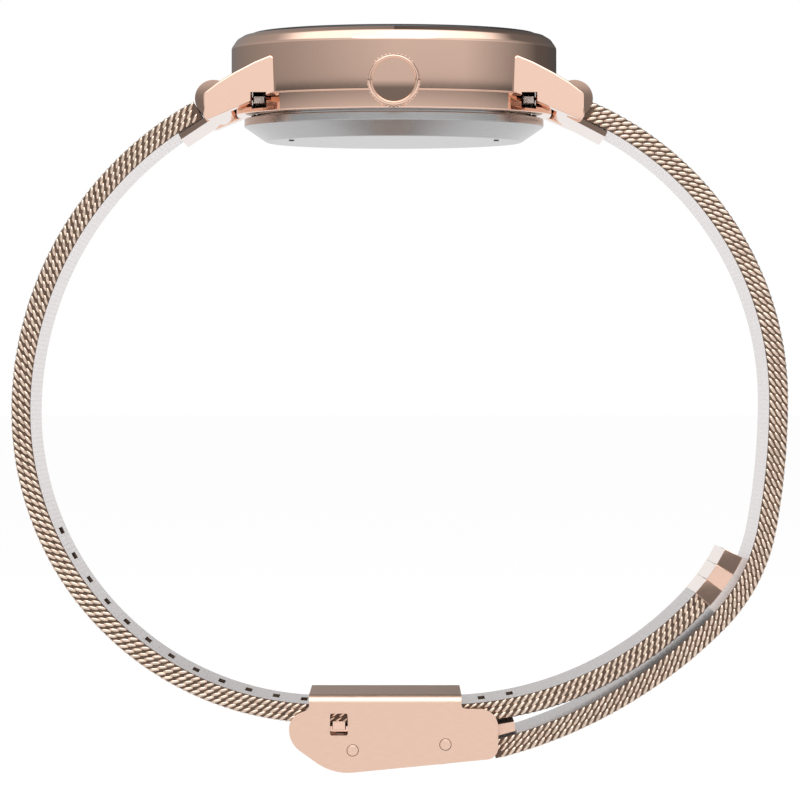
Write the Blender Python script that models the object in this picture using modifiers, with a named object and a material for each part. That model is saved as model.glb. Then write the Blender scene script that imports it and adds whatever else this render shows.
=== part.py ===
"""Smartwatch with a woven metal band and a sliding clasp.

The origin is the middle of the case back's wrist face. +Z runs out through the cover glass,
the crown points to -Y and the short band leaves towards +X. Sizes below are in millimetres.
"""
import math

import bmesh
import bpy
from mathutils import Matrix, Vector

MM = 0.001
GAP = 0.3

# Case
CASE_RADIUS = 18.1
CASE_SHOULDER_Z = 10.5
CASE_TOP_Z = 11.8
CASE_TOP_RADIUS = 16.6
CASE_STEP_Z = 4.9
LOWER_RING_RADIUS = 17.7
BORE_RADIUS = 15.9
LEDGE_RADIUS = 15.2
LEDGE_THICKNESS = 0.7
GLASS_THICKNESS = 1.0
GLASS_PROUD = 0.3
SEAL_THICKNESS = 0.4
DISPLAY_THICKNESS = 1.0

# Case back
BACK_FLAT_RADIUS = 14.2
BACK_RIM_RADIUS = 16.66
BACK_CHAMFER_Z = 1.7
BACK_RIM_Z = 2.6
BACK_SPIGOT = 1.0
BACK_MARK_RADIUS = 0.35
BACK_MARK_DEPTH = 0.4
BACK_MARK_X = 11.3
BACK_MARK_Y = 5.6

# Lugs and spring bars
LUG_OUTER_Y = 12.6
LUG_TIP_X = 20.8
LUG_ROOT_X = 13.2
LUG_TOP_Z = 9.1
LUG_ROOT_LIFT = 0.12
LUG_TIP_TOP_Z = 5.0
LUG_TIP_BOTTOM_Z = 2.0
RECESS_FILLET = 0.05
BAR_X = 19.8
BAR_Z = 4.4
BAR_RADIUS = 0.75
BAR_ENGAGEMENT = 1.2
KNUCKLE_RADIUS = 2.05

# Frame tabs in the slots below the lugs
TAB_X = 14.8
TAB_WIDTH = 1.1
TAB_HEIGHT = 0.7
TAB_START_Y = 4.0
TAB_REACH_Y = 9.0
SLOT_START_Y = 2.5
FRAME_WALL = 2.0

# Inner pieces
BATTERY_SIZE = (15.0, 12.0, 2.2)
BATTERY_X = -3.0
HAPTIC_RADIUS = 3.2
HAPTIC_HEIGHT = 2.0
HAPTIC_X = 9.0
BOARD_THICKNESS = 0.8
SWITCH_SIZE = (4.0, 1.6, 2.0)

# Crown
CROWN_Z = 5.7
CROWN_RADIUS = 2.95
CROWN_LENGTH = 2.6
CROWN_GAP = 0.9
CROWN_FLUTES = 30
CROWN_FLUTE_DEPTH = 0.16
CROWN_DISH_RADIUS = 2.45
CROWN_DISH_DEPTH = 0.2
STEM_RADIUS = 0.6
TUBE_RADIUS = 1.3
CROWN_PRESS = 0.5

# Band
BAND_WIDTH = 18.0
BAND_THICKNESS = 2.1
LONG_START = (-22.0, 4.1)
LONG_HEADING = -150.8
LONG_SIDE_RADIUS = 39.07
LONG_BASE_RADIUS = 34.2
LONG_STRAIGHT = 13.5
LONG_TAIL_RADIUS = 39.0
LONG_TAIL_TURN = 48.0
SHORT_START = (21.4, 4.2)
SHORT_HEADING = -22.7
SHORT_ARCS = ((35.66, 67.3), (80.0, 10.3), (20.7, 34.7), (53.9, 31.0))
NOTCH_COUNT = 19
NOTCH_PITCH = 3.35
NOTCH_START = 56.0
NOTCH_LENGTH = 0.8
NOTCH_WIDTH = 6.0
NOTCH_DEPTH = 0.5
CAP_RADIUS = 23.0
CAP_TURN = 15.4
JAW_LENGTH = 3.2
JAW_THICKNESS = 0.6
ARC_STEP = 4.0

# Clasp
CLASP_WALL = 0.7
CLASP_TOP_Z = -61.0
CLASP_WEB = 0.6
CATCH_PIN = (-4.52, -67.09)
STRAP_PIN = (5.65, -66.45)
PIN_RADIUS = 0.6
PIN_HEAD = 0.15
WINDOW_X = (-7.0, -5.05)
WINDOW_Z = (-65.47, -63.06)
LEVER_THICKNESS = 0.5
LEVER_KNUCKLE_RADIUS = 1.25
LEVER_DROP = 2.2
LEVER_RIB_Z = -68.98
LEVER_OPENING = (3.0, 4.0)
LOCK_THICKNESS = 0.6
HOOK_HALF_WIDTH = 4.0
HOOK_PRONG = 0.45
HOOK_FORK_END = 10.3

SEGMENTS = 64
SMALL_SEGMENTS = 20

BAND_HALF = BAND_WIDTH / 2
LUG_INNER_Y = BAND_HALF + GAP
CASE_BOTTOM_Z = BACK_RIM_Z + GAP
LUG_ROOT_Z = CASE_STEP_Z + LUG_ROOT_LIFT
RECESS_HALF = LUG_INNER_Y - RECESS_FILLET
GLASS_Z = CASE_TOP_Z + GLASS_PROUD - GLASS_THICKNESS
SEAL_Z = GLASS_Z - GAP - SEAL_THICKNESS
LEDGE_Z = SEAL_Z - GAP
LEDGE_BOTTOM_Z = LEDGE_Z - LEDGE_THICKNESS
DISPLAY_Z = LEDGE_BOTTOM_Z - GAP - DISPLAY_THICKNESS
GLASS_RADIUS = CASE_TOP_RADIUS - 2 * GAP
FRAME_RADIUS = BORE_RADIUS - GAP
FRAME_BOTTOM_Z = BACK_RIM_Z + BACK_SPIGOT + GAP
FRAME_TOP_Z = DISPLAY_Z - GAP
FRAME_BORE = FRAME_RADIUS - FRAME_WALL
FLOOR_Z = FRAME_BOTTOM_Z
BOARD_Z = FRAME_TOP_Z - BOARD_THICKNESS
CHANNEL_HALF = BAND_HALF + GAP + 0.05
CLASP_HALF = CHANNEL_HALF + CLASP_WALL
CROWN_INNER_Y = -(CASE_RADIUS + CROWN_GAP)
CROWN_OUTER_Y = CROWN_INNER_Y - CROWN_LENGTH
SWITCH_Y = -(FRAME_BORE - GAP - SWITCH_SIZE[1])

for old in list(bpy.data.objects):
    bpy.data.objects.remove(old, do_unlink=True)

PARTS = bpy.data.collections.new("smartwatch")
CUTTERS = bpy.data.collections.new("cutters")
bpy.context.scene.collection.children.link(PARTS)
bpy.context.scene.collection.children.link(CUTTERS)


def finish(name, colour, roughness, metallic=1.0):
    """A Principled material for one sub-part."""
    material = bpy.data.materials.new(name)
    material.use_nodes = True
    shader = material.node_tree.nodes["Principled BSDF"]
    shader.inputs["Base Color"].default_value = (*colour, 1.0)
    shader.inputs["Roughness"].default_value = roughness
    shader.inputs["Metallic"].default_value = metallic
    return material


ROSE = (0.80, 0.52, 0.40)
FINISHES = {
    "rose": (ROSE, 0.2, 1.0),
    "satin_rose": (ROSE, 0.35, 1.0),
    "mesh": ((0.68, 0.52, 0.42), 0.35, 1.0),
    "steel": ((0.62, 0.62, 0.62), 0.35, 1.0),
    "glass": ((0.02, 0.02, 0.025), 0.05, 0.0),
    "black": ((0.03, 0.03, 0.03), 0.4, 0.0),
    "rubber": ((0.04, 0.04, 0.04), 0.7, 0.0),
    "cream": ((0.75, 0.70, 0.66), 0.5, 0.0),
    "board": ((0.05, 0.22, 0.12), 0.5, 0.0),
    "foil": ((0.55, 0.56, 0.58), 0.4, 1.0),
}


def dress(item, name, look):
    """Name a solid, give it its own material and file it with the parts."""
    item.name = name
    item.data.name = name
    for old in list(item.users_collection):
        old.objects.unlink(item)
    PARTS.objects.link(item)
    item.data.materials.clear()
    item.data.materials.append(finish(name, *FINISHES[look]))
    item.data.shade_smooth()
    item.data.set_sharp_from_angle(angle=math.radians(30))
    return item


def as_tool(item):
    """File a solid as a cutter or a body to be joined."""
    for old in list(item.users_collection):
        old.objects.unlink(item)
    CUTTERS.objects.link(item)
    item.hide_render = True
    item.display_type = "WIRE"
    return item


def combine(item, tool, operation):
    boolean = item.modifiers.new(operation.lower(), "BOOLEAN")
    boolean.operation = operation
    boolean.object = as_tool(tool)


def cut(item, tool):
    combine(item, tool, "DIFFERENCE")


def join(item, tool):
    combine(item, tool, "UNION")


def turned(profile, closed=False, segments=SEGMENTS):
    """Turn (radius, height) points about Z; the outer side runs from top to bottom."""
    points = [(radius * MM, 0.0, height * MM) for radius, height in profile]
    edges = [(i, i + 1) for i in range(len(points) - 1)]
    if closed:
        edges.append((len(points) - 1, 0))
    mesh = bpy.data.meshes.new("turned")
    mesh.from_pydata(points, edges, [])
    item = bpy.data.objects.new("turned", mesh)
    PARTS.objects.link(item)
    screw = item.modifiers.new("turn", "SCREW")
    screw.axis = "Z"
    screw.steps = segments
    screw.render_steps = segments
    screw.use_merge_vertices = True
    screw.merge_threshold = 0.00001
    return item


def solid(item):
    """Make a curve or a piece with modifiers into a plain closed mesh."""
    graph = bpy.context.evaluated_depsgraph_get()
    mesh = bpy.data.meshes.new_from_object(item.evaluated_get(graph))
    shape = bmesh.new()
    shape.from_mesh(mesh)
    bmesh.ops.remove_doubles(shape, verts=shape.verts, dist=0.000001)
    bmesh.ops.recalc_face_normals(shape, faces=shape.faces)
    shape.to_mesh(mesh)
    shape.free()
    mesh.transform(item.matrix_world)
    result = bpy.data.objects.new(item.name, mesh)
    PARTS.objects.link(result)
    bpy.data.objects.remove(item, do_unlink=True)
    return result


def extruded(outline, near, far):
    """Extrude an outline of (x, z) points from y = near to y = far."""
    curve = bpy.data.curves.new("outline", "CURVE")
    curve.dimensions = "2D"
    curve.fill_mode = "BOTH"
    curve.extrude = abs(far - near) / 2 * MM
    spline = curve.splines.new("POLY")
    spline.points.add(len(outline) - 1)
    for point, (x, z) in zip(spline.points, outline):
        point.co = (x * MM, z * MM, 0.0, 1.0)
    spline.use_cyclic_u = True
    item = bpy.data.objects.new("outline", curve)
    item.rotation_euler = (math.pi / 2, 0.0, 0.0)
    item.location = (0.0, (near + far) / 2 * MM, 0.0)
    PARTS.objects.link(item)
    bpy.context.view_layer.update()
    return solid(item)


def box(low, high):
    size = [b - a for a, b in zip(low, high)]
    middle = [(a + b) / 2 * MM for a, b in zip(low, high)]
    bpy.ops.mesh.primitive_cube_add(size=1.0, location=middle)
    item = bpy.context.object
    item.scale = [length * MM for length in size]
    bpy.context.view_layer.update()
    return solid(item)


def rod(centre, radius, near, far, segments=SMALL_SEGMENTS):
    """A round bar along Y through an (x, z) centre."""
    bpy.ops.mesh.primitive_cylinder_add(
        vertices=segments, radius=radius * MM, depth=(far - near) * MM,
        location=(centre[0] * MM, (near + far) / 2 * MM, centre[1] * MM),
        rotation=(math.pi / 2, 0.0, 0.0))
    bpy.context.view_layer.update()
    return solid(bpy.context.object)


def disc(centre, radius, bottom, top, segments=SMALL_SEGMENTS):
    """A round plate along Z at an (x, y) centre."""
    bpy.ops.mesh.primitive_cylinder_add(
        vertices=segments, radius=radius * MM, depth=(top - bottom) * MM,
        location=(centre[0] * MM, centre[1] * MM, (bottom + top) / 2 * MM))
    bpy.context.view_layer.update()
    return solid(bpy.context.object)


def soften(item, width):
    bevel = item.modifiers.new("edges", "BEVEL")
    bevel.width = width * MM
    bevel.segments = 1
    bevel.limit_method = "ANGLE"
    bevel.angle_limit = math.radians(50)


def pivot(name, place):
    """An empty on a joint's axis."""
    empty = bpy.data.objects.new(name, None)
    empty.location = [value * MM for value in place]
    empty.empty_display_size = 3 * MM
    PARTS.objects.link(empty)
    bpy.context.view_layer.update()
    return empty


def hang(parent, *items):
    for item in items:
        item.parent = parent
        item.matrix_parent_inverse = parent.matrix_world.inverted()


def arc_path(start, heading, arcs, side):
    """Points and headings along a chain of (radius, turn); side is 1 for left turns, -1 for right."""
    place = Vector(start)
    angle = math.radians(heading)
    path = [(place.copy(), angle)]
    for radius, turn in arcs:
        if radius == 0:
            place = place + turn * Vector((math.cos(angle), math.sin(angle)))
            path.append((place.copy(), angle))
            continue
        count = max(2, round(turn / ARC_STEP))
        centre = place + radius * side * Vector((-math.sin(angle), math.cos(angle)))
        for _ in range(count):
            angle += side * math.radians(turn) / count
            place = centre + radius * side * Vector((math.sin(angle), -math.cos(angle)))
            path.append((place.copy(), angle))
    return path


def inward(angle, side):
    return side * Vector((-math.sin(angle), math.cos(angle)))


def strip(path, side, near_depth, far_depth):
    """A closed outline between two depths below the outer edge of a path."""
    outer = [place + near_depth * inward(angle, side) for place, angle in path]
    inner = [place + far_depth * inward(angle, side) for place, angle in path]
    return [tuple(point) for point in outer + inner[::-1]]


def trimmed(path, centre, clearance):
    """Leave out the start of a path that lies within a clearance of a centre."""
    kept = [step for step in path if (step[0] - Vector(centre)).length > clearance]
    return kept


def rounded(corners, steps=4):
    """An outline with each (x, z, radius) corner rounded by an arc."""
    outline = []
    count = len(corners)
    for i, (x, z, radius) in enumerate(corners):
        here = Vector((x, z))
        before = (Vector(corners[i - 1][:2]) - here).normalized()
        after = (Vector(corners[(i + 1) % count][:2]) - here).normalized()
        if radius == 0:
            outline.append((x, z))
            continue
        half = before.angle(after) / 2
        reach = radius / math.tan(half)
        centre = here + (before + after).normalized() * (radius / math.sin(half))
        first = here + before * reach - centre
        last = here + after * reach - centre
        for step in range(steps + 1):
            spoke = first.lerp(last, step / steps).normalized() * radius
            outline.append(tuple(centre + spoke))
    return outline


def lug(side_x, side_y):
    """One lug, sloping from the case wall to its tip."""
    profile = [
        (LUG_ROOT_X - 1.4, LUG_TOP_Z + 0.4), (LUG_ROOT_X, LUG_TOP_Z), (17.4, 7.05),
        (LUG_TIP_X - 0.3, LUG_TIP_TOP_Z + 0.15), (LUG_TIP_X, LUG_TIP_TOP_Z - 0.3),
        (LUG_TIP_X, LUG_TIP_BOTTOM_Z + 0.3), (LUG_TIP_X - 0.4, LUG_TIP_BOTTOM_Z), (19.7, LUG_TIP_BOTTOM_Z),
        (18.0, 2.85), (15.4, 4.15), (LUG_ROOT_X - 0.3, LUG_ROOT_Z), (LUG_ROOT_X - 1.4, LUG_ROOT_Z)]
    outline = [(side_x * x, z) for x, z in profile]
    near, far = sorted((side_y * LUG_INNER_Y, side_y * LUG_OUTER_Y))
    return extruded(outline, near, far)


def make_case():
    """The case middle: turned wall, four lugs, bore, glass seat, strap recesses and holes."""
    case = turned([
        (0.0, CASE_TOP_Z), (CASE_TOP_RADIUS, CASE_TOP_Z), (17.5, 11.35), (CASE_RADIUS, CASE_SHOULDER_Z),
        (CASE_RADIUS, CASE_STEP_Z), (LOWER_RING_RADIUS, CASE_STEP_Z),
        (LOWER_RING_RADIUS, CASE_BOTTOM_Z), (0.0, CASE_BOTTOM_Z)])
    case = solid(case)
    for side_x in (-1, 1):
        for side_y in (-1, 1):
            join(case, lug(side_x, side_y))
    hollow = turned([
        (0.0, CASE_TOP_Z + 1), (GLASS_RADIUS + GAP, CASE_TOP_Z + 1), (GLASS_RADIUS + GAP, LEDGE_Z),
        (LEDGE_RADIUS, LEDGE_Z), (LEDGE_RADIUS, LEDGE_BOTTOM_Z), (BORE_RADIUS, LEDGE_BOTTOM_Z),
        (BORE_RADIUS, CASE_BOTTOM_Z - 1), (0.0, CASE_BOTTOM_Z - 1)])
    cut(case, solid(hollow))
    recess_x = BAR_X - KNUCKLE_RADIUS - GAP
    recess_top = BAR_Z + KNUCKLE_RADIUS + GAP
    for side in (-1, 1):
        low_x, high_x = sorted((side * recess_x, side * (CASE_RADIUS + 1)))
        cut(case, box((low_x, -RECESS_HALF, CASE_BOTTOM_Z - 1), (high_x, RECESS_HALF, recess_top)))
        bar_end = LUG_INNER_Y + BAR_ENGAGEMENT + GAP
        cut(case, rod((side * BAR_X, BAR_Z), BAR_RADIUS + GAP, -bar_end, bar_end))
        for side_y in (-1, 1):
            low_y, high_y = sorted((side_y * SLOT_START_Y, side_y * LUG_INNER_Y * 1.5))
            half = TAB_WIDTH / 2 + GAP
            cut(case, box((side * TAB_X - half, low_y, FRAME_BOTTOM_Z - 2 * GAP),
                          (side * TAB_X + half, high_y, FRAME_BOTTOM_Z + TAB_HEIGHT + GAP)))
    cut(case, rod((0.0, CROWN_Z), TUBE_RADIUS + GAP, -CASE_RADIUS - 1, -BORE_RADIUS + 1))
    for boolean in case.modifiers:
        boolean.solver = "MANIFOLD"
    return dress(case, "case_middle", "rose")


def make_back():
    back = solid(turned([
        (0.0, BACK_RIM_Z + BACK_SPIGOT), (BORE_RADIUS - 2 * GAP, BACK_RIM_Z + BACK_SPIGOT),
        (BORE_RADIUS - 2 * GAP, BACK_RIM_Z), (BACK_RIM_RADIUS, BACK_RIM_Z),
        (BACK_RIM_RADIUS, BACK_CHAMFER_Z), (BACK_FLAT_RADIUS, 0.0), (0.0, 0.0)]))
    for x in (-BACK_MARK_X, BACK_MARK_X):
        for y in (-BACK_MARK_Y, BACK_MARK_Y):
            cut(back, disc((x, y), BACK_MARK_RADIUS, -1.0, BACK_MARK_DEPTH, 10))
    return dress(back, "caseback", "steel")


def make_inner_pieces():
    """Glass, seals, display, frame, battery, board, haptic motor and crown switch."""
    glass = turned([
        (0.0, GLASS_Z + GLASS_THICKNESS), (GLASS_RADIUS - 0.4, GLASS_Z + GLASS_THICKNESS),
        (GLASS_RADIUS, GLASS_Z + GLASS_THICKNESS - 0.3), (GLASS_RADIUS, GLASS_Z), (0.0, GLASS_Z)])
    dress(glass, "cover_glass", "glass")
    seal = turned([
        (GLASS_RADIUS, SEAL_Z + SEAL_THICKNESS), (GLASS_RADIUS, SEAL_Z),
        (LEDGE_RADIUS + 0.1, SEAL_Z), (LEDGE_RADIUS + 0.1, SEAL_Z + SEAL_THICKNESS)], closed=True)
    dress(seal, "glass_seal", "rubber")
    panel = turned([
        (0.0, DISPLAY_Z + DISPLAY_THICKNESS), (FRAME_RADIUS, DISPLAY_Z + DISPLAY_THICKNESS),
        (FRAME_RADIUS, DISPLAY_Z), (0.0, DISPLAY_Z)])
    dress(panel, "display_panel", "black")
    frame = solid(turned([
        (FRAME_RADIUS, FRAME_TOP_Z), (FRAME_RADIUS, FRAME_BOTTOM_Z),
        (FRAME_BORE, FRAME_BOTTOM_Z), (FRAME_BORE, FRAME_TOP_Z)], closed=True))
    for side_x in (-1, 1):
        for side_y in (-1, 1):
            low_y, high_y = sorted((side_y * TAB_START_Y, side_y * TAB_REACH_Y))
            x = side_x * TAB_X
            join(frame, box((x - TAB_WIDTH / 2, low_y, FRAME_BOTTOM_Z),
                            (x + TAB_WIDTH / 2, high_y, FRAME_BOTTOM_Z + TAB_HEIGHT)))
    cut(frame, rod((0.0, CROWN_Z), STEM_RADIUS + GAP, -FRAME_RADIUS - 1, -FRAME_BORE + 2))
    dress(frame, "inner_frame", "cream")
    long, wide, high = BATTERY_SIZE
    battery = box((BATTERY_X - long / 2, -wide / 2, FLOOR_Z),
                  (BATTERY_X + long / 2, wide / 2, FLOOR_Z + high))
    soften(battery, 0.4)
    dress(battery, "battery", "foil")
    dress(disc((HAPTIC_X, 0.0), HAPTIC_RADIUS, FLOOR_Z, FLOOR_Z + HAPTIC_HEIGHT), "haptic_motor", "foil")
    board = disc((0.0, 0.0), FRAME_BORE - GAP, BOARD_Z, FRAME_TOP_Z, 40)
    cut(board, box((-SWITCH_SIZE[0], -FRAME_BORE - 1, BOARD_Z - 1),
                   (SWITCH_SIZE[0], SWITCH_Y + SWITCH_SIZE[1] + 4, FRAME_TOP_Z + 1)))
    dress(board, "main_board", "board")


def make_crown():
    """The fluted crown, its stem, tube, plunger and switch, on one axis along Y."""
    tube = rod((0.0, CROWN_Z), TUBE_RADIUS, -CASE_RADIUS - GAP, -BORE_RADIUS - GAP)
    cut(tube, rod((0.0, CROWN_Z), STEM_RADIUS + GAP, -CASE_RADIUS - 2, -BORE_RADIUS + 2))
    dress(tube, "crown_tube", "steel")
    outline = []
    for i in range(CROWN_FLUTES * 4):
        angle = 2 * math.pi * i / (CROWN_FLUTES * 4)
        radius = CROWN_RADIUS - (CROWN_FLUTE_DEPTH if i % 4 == 0 else 0.0)
        outline.append((radius * math.cos(angle), CROWN_Z + radius * math.sin(angle)))
    crown = extruded(outline, CROWN_OUTER_Y, CROWN_INNER_Y)
    dish_end = CROWN_OUTER_Y + CROWN_DISH_DEPTH
    cut(crown, rod((0.0, CROWN_Z), CROWN_DISH_RADIUS, CROWN_OUTER_Y - 1, dish_end, 40))
    cut(crown, rod((0.0, CROWN_Z), STEM_RADIUS + GAP, CROWN_OUTER_Y + 1.2, CROWN_INNER_Y + 1))
    dress(crown, "crown", "rose")
    stem_end = SWITCH_Y - 2 * GAP - 1.2
    stem = rod((0.0, CROWN_Z), STEM_RADIUS, CROWN_OUTER_Y + 1.2 + GAP, stem_end)
    dress(stem, "crown_stem", "steel")
    plunger = rod((0.0, CROWN_Z), STEM_RADIUS, stem_end + GAP, SWITCH_Y - CROWN_PRESS - GAP)
    dress(plunger, "switch_plunger", "black")
    half = SWITCH_SIZE[0] / 2
    switch = box((-half, SWITCH_Y, CROWN_Z - SWITCH_SIZE[2] / 2),
                 (half, SWITCH_Y + SWITCH_SIZE[1], CROWN_Z + SWITCH_SIZE[2] / 2))
    dress(switch, "crown_switch", "black")
    axis = pivot("crown_axis", (0.0, CROWN_INNER_Y, CROWN_Z))
    hang(axis, crown, stem, plunger)


def end_link(name, side_x, start, angle, side):
    """A band end: a knuckle on the spring bar with a jaw under the band."""
    centre = Vector((side_x * BAR_X, BAR_Z))
    link = rod(centre, KNUCKLE_RADIUS, -BAND_HALF, BAND_HALF, 32)
    along = Vector((math.cos(angle), math.sin(angle)))
    inner = inward(angle, side)
    origin = Vector(start)
    under = BAND_THICKNESS + GAP
    back = (centre - origin).dot(along)
    corners = [(back, under - 0.4), (JAW_LENGTH, under), (JAW_LENGTH, under + JAW_THICKNESS),
               (back, under + JAW_THICKNESS - 0.4)]
    jaw = extruded([tuple(origin + u * along + v * inner) for u, v in corners], -BAND_HALF, BAND_HALF)
    join(link, jaw)
    cut(link, rod(centre, BAR_RADIUS + GAP, -BAND_HALF - 1, BAND_HALF + 1))
    return dress(link, name, "satin_rose")


def spring_bar(name, side_x):
    end = LUG_INNER_Y + BAR_ENGAGEMENT
    return dress(rod((side_x * BAR_X, BAR_Z), BAR_RADIUS, -end, end), name, "steel")


def make_bands():
    clearance = KNUCKLE_RADIUS + GAP
    long_arcs = ((LONG_SIDE_RADIUS, 270.0 - (360.0 + LONG_HEADING)), (LONG_BASE_RADIUS, 90.0),
                 (0, LONG_STRAIGHT), (LONG_TAIL_RADIUS, LONG_TAIL_TURN))
    long_path = arc_path(LONG_START, LONG_HEADING, long_arcs, 1)
    end, angle = long_path[-1]
    cap_path = arc_path(tuple(end), math.degrees(angle), ((0, GAP), (CAP_RADIUS, CAP_TURN)), 1)[1:]
    long_path = trimmed(long_path, (-BAR_X, BAR_Z), clearance)
    long_band = extruded(strip(long_path, 1, 0.0, BAND_THICKNESS), -BAND_HALF, BAND_HALF)
    for notch in notches(long_path):
        cut(long_band, notch)
    dress(long_band, "mesh_band_long", "mesh")
    cap = extruded(strip(cap_path, 1, 0.0, BAND_THICKNESS), -BAND_HALF, BAND_HALF)
    soften(cap, 0.35)
    dress(cap, "tail_cap", "satin_rose")
    short_path = arc_path(SHORT_START, SHORT_HEADING, SHORT_ARCS, -1)
    short_path = trimmed(short_path, (BAR_X, BAR_Z), clearance)
    short_band = extruded(strip(short_path, -1, 0.0, BAND_THICKNESS), -BAND_HALF, BAND_HALF)
    dress(short_band, "mesh_band_short", "mesh")
    link_6 = end_link("end_link_long", -1, LONG_START, math.radians(LONG_HEADING), 1)
    link_12 = end_link("end_link_short", 1, SHORT_START, math.radians(SHORT_HEADING), -1)
    hook = make_hook()
    spring_bar("spring_bar_long", -1)
    spring_bar("spring_bar_short", 1)
    hang(pivot("long_band_pivot", (-BAR_X, 0.0, BAR_Z)), long_band, cap, link_6)
    hang(pivot("short_band_pivot", (BAR_X, 0.0, BAR_Z)), short_band, link_12, hook)


def notches(path):
    """Cutters for the adjustment slots, stepped along the band's wrist side."""
    tools = []
    inner = [(place + BAND_THICKNESS * inward(angle, 1), angle) for place, angle in path]
    travelled = 0.0
    wanted = [NOTCH_START + NOTCH_PITCH * i for i in range(NOTCH_COUNT)]
    for (here, angle), (there, turned_angle) in zip(inner, inner[1:]):
        step = (there - here).length
        while wanted and travelled + step >= wanted[0]:
            share = (wanted.pop(0) - travelled) / step
            place = here.lerp(there, share)
            lean = angle + share * (turned_angle - angle)
            tool = box((-NOTCH_LENGTH / 2, -NOTCH_WIDTH / 2, -NOTCH_DEPTH),
                       (NOTCH_LENGTH / 2, NOTCH_WIDTH / 2, NOTCH_DEPTH))
            tool.data.transform(Matrix.Rotation(-lean, 4, "Y"))
            tool.data.transform(Matrix.Translation((place.x * MM, 0.0, place.y * MM)))
            tools.append(tool)
        travelled += step
    return tools


def make_hook():
    """The short band's end block and the open fork that clips on the clasp's strap pin."""
    x, z = STRAP_PIN
    block = extruded([(9.6, -64.65), (13.2, -64.0), (13.35, -65.0), (11.0, -65.65), (9.6, -65.75)],
                     -BAND_HALF, BAND_HALF)
    throat = PIN_RADIUS + GAP + 0.05
    prong = HOOK_PRONG
    fork = extruded([
        (x - 0.7, z + throat + prong), (HOOK_FORK_END, z + throat + prong),
        (HOOK_FORK_END, z - throat - prong), (x - 0.7, z - throat - prong), (x - 0.7, z - throat),
        (x + 0.9, z - throat), (x + 1.4, z), (x + 0.9, z + throat),
        (x - 0.7, z + throat)], -HOOK_HALF_WIDTH, HOOK_HALF_WIDTH)
    join(block, fork)
    return dress(block, "band_hook", "satin_rose")


def clasp_outline():
    return rounded([
        (-9.2, CLASP_TOP_Z, 0), (-9.7, -62.6, 1.5), (-11.47, -64.4, 1.0), (-11.47, -66.3, 1.2),
        (-9.6, -67.85, 1.5), (-6.6, -69.55, 3.0), (11.0, -68.35, 0.9), (11.4, -64.0, 0.9),
        (10.6, -62.5, 0.8), (7.9, -62.4, 0.6), (7.4, CLASP_TOP_Z, 0)])


def make_clasp():
    bracket = extruded(clasp_outline(), -CLASP_HALF, CLASP_HALF)
    cut(bracket, box((-20, -CHANNEL_HALF, -80), (20, CHANNEL_HALF, CLASP_TOP_Z - CLASP_WEB)))
    window = box((WINDOW_X[0], -CLASP_HALF - 1, WINDOW_Z[0]), (WINDOW_X[1], CLASP_HALF + 1, WINDOW_Z[1]))
    cut(bracket, window)
    for centre in (CATCH_PIN, STRAP_PIN):
        cut(bracket, rod(centre, PIN_RADIUS + GAP, -CLASP_HALF - 1, CLASP_HALF + 1))
    dress(bracket, "clasp_bracket", "satin_rose")
    pins = []
    for name, centre in (("catch_pin", CATCH_PIN), ("strap_pin", STRAP_PIN)):
        end = CLASP_HALF + PIN_HEAD
        pins.append(dress(rod(centre, PIN_RADIUS, -end, end), name, "rose"))
    band_outer = CLASP_TOP_Z - CLASP_WEB - 0.5 - BAND_THICKNESS
    lock_top = band_outer - GAP
    lock = box((-7.6, -CHANNEL_HALF + GAP, lock_top - LOCK_THICKNESS), (-3.0, CHANNEL_HALF - GAP, lock_top))
    ear = (WINDOW_X[0] + GAP, WINDOW_X[1] - GAP)
    join(lock, box((ear[0], -CLASP_HALF + 0.1, lock_top - LOCK_THICKNESS),
                   (ear[1], CLASP_HALF - 0.1, lock_top - 0.02)))
    dress(lock, "lock_plate", "rose")
    lever = make_lever(lock_top - LOCK_THICKNESS)
    clasp_empty = pivot("clasp_pivot", (STRAP_PIN[0], 0.0, STRAP_PIN[1]))
    hang(clasp_empty, bracket, lock, lever, *pins)


def make_lever(lock_bottom):
    """The lock lever: a curved cover on two knuckles, with a nose that presses the lock plate."""
    half = CHANNEL_HALF - GAP
    x, z = STRAP_PIN
    outer = [(x, z - LEVER_DROP), (0.0, -69.0), (-5.2, -69.25), (-7.4, -68.75), (-9.3, -67.6)]
    inner = [(px + 0.15, pz + LEVER_THICKNESS) for px, pz in outer]
    lever = extruded(outer + inner[::-1], -half, half)
    for near, far in ((-half, -HOOK_HALF_WIDTH - GAP), (HOOK_HALF_WIDTH + GAP, half)):
        join(lever, rod(STRAP_PIN, LEVER_KNUCKLE_RADIUS, near, far))
        leg = [(x - 1.0, z - 0.6), (x + 0.7, z - 1.0),
               (x - 0.1, z - LEVER_DROP + 0.1), (x - 2.2, z - LEVER_DROP + 0.05)]
        join(lever, extruded(leg, near, far))
    nose_right = CATCH_PIN[0] - PIN_RADIUS - GAP
    rib = half - 2.0
    join(lever, box((nose_right - 0.9, -rib, LEVER_RIB_Z), (nose_right, rib, lock_bottom - GAP)))
    rib_left = CATCH_PIN[0] + PIN_RADIUS + GAP
    join(lever, box((rib_left, -rib, LEVER_RIB_Z), (rib_left + 0.7, rib, CATCH_PIN[1])))
    cut(lever, rod(STRAP_PIN, PIN_RADIUS + GAP, -half - 1, half + 1))
    reach, depth = LEVER_OPENING
    middle = HOOK_HALF_WIDTH + GAP
    cut(lever, box((x - reach, -middle, z - depth), (x + reach, middle, z + depth)))
    return dress(lever, "clasp_lever", "satin_rose")


make_case()
make_back()
make_inner_pieces()
make_crown()
make_bands()
make_clasp()
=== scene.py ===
import math

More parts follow.
